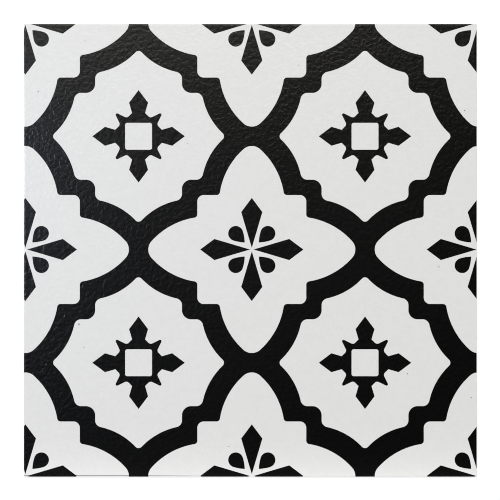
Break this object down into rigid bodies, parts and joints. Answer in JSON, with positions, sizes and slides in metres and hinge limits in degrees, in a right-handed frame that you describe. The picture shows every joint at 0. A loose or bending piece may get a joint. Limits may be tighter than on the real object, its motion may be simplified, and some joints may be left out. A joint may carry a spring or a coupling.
{
  "type": "vinyl floor tile",
  "caption": "Square vinyl floor tile with a black and white ornamental print, a finely embossed satin face, punched edges and a plain flat back for adhesive.",
  "frame": {"origin": "middle of the flat back, the face that is glued down", "axes": "+Z out of the printed face, +X and +Y along the tile's sides"},
  "size_m": [0.3048, 0.3048, 0.0015],
  "materials": {
    "vinyl": "satin embossed wear layer over a black and white print, fine matt grey back"
  },
  "bodies": {
    "root": {"vinyl_tile": "vinyl"}
  },
  "joints": []
}
